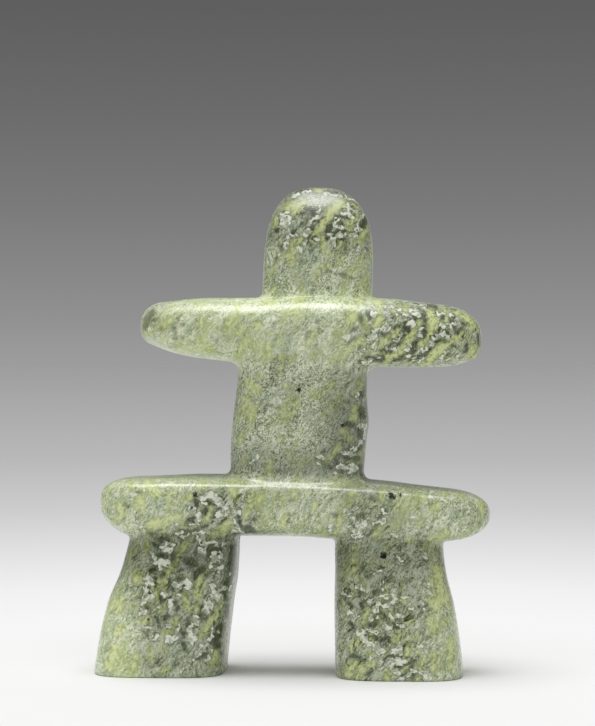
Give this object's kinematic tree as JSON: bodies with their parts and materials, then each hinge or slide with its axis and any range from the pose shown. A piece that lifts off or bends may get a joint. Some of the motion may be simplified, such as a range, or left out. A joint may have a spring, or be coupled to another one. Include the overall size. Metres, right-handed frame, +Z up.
{
  "type": "inukshuk sculpture",
  "caption": "Green serpentine carving of an inukshuk: a standing figure of stacked stone slabs with spread legs, outstretched arms and a rounded head, in one polished piece.",
  "frame": {"origin": "on the ground under the middle of the hip slab", "axes": "+Z up, +X to the right of someone facing the front of the figure, -Y out of the front"},
  "size_m": [0.1629, 0.0532, 0.2],
  "materials": {
    "serpentine": "hand polished, mottled grey-green with lime streaks and pale flakes"
  },
  "bodies": {
    "root": {"inukshuk_carving": "serpentine"}
  },
  "joints": []
}
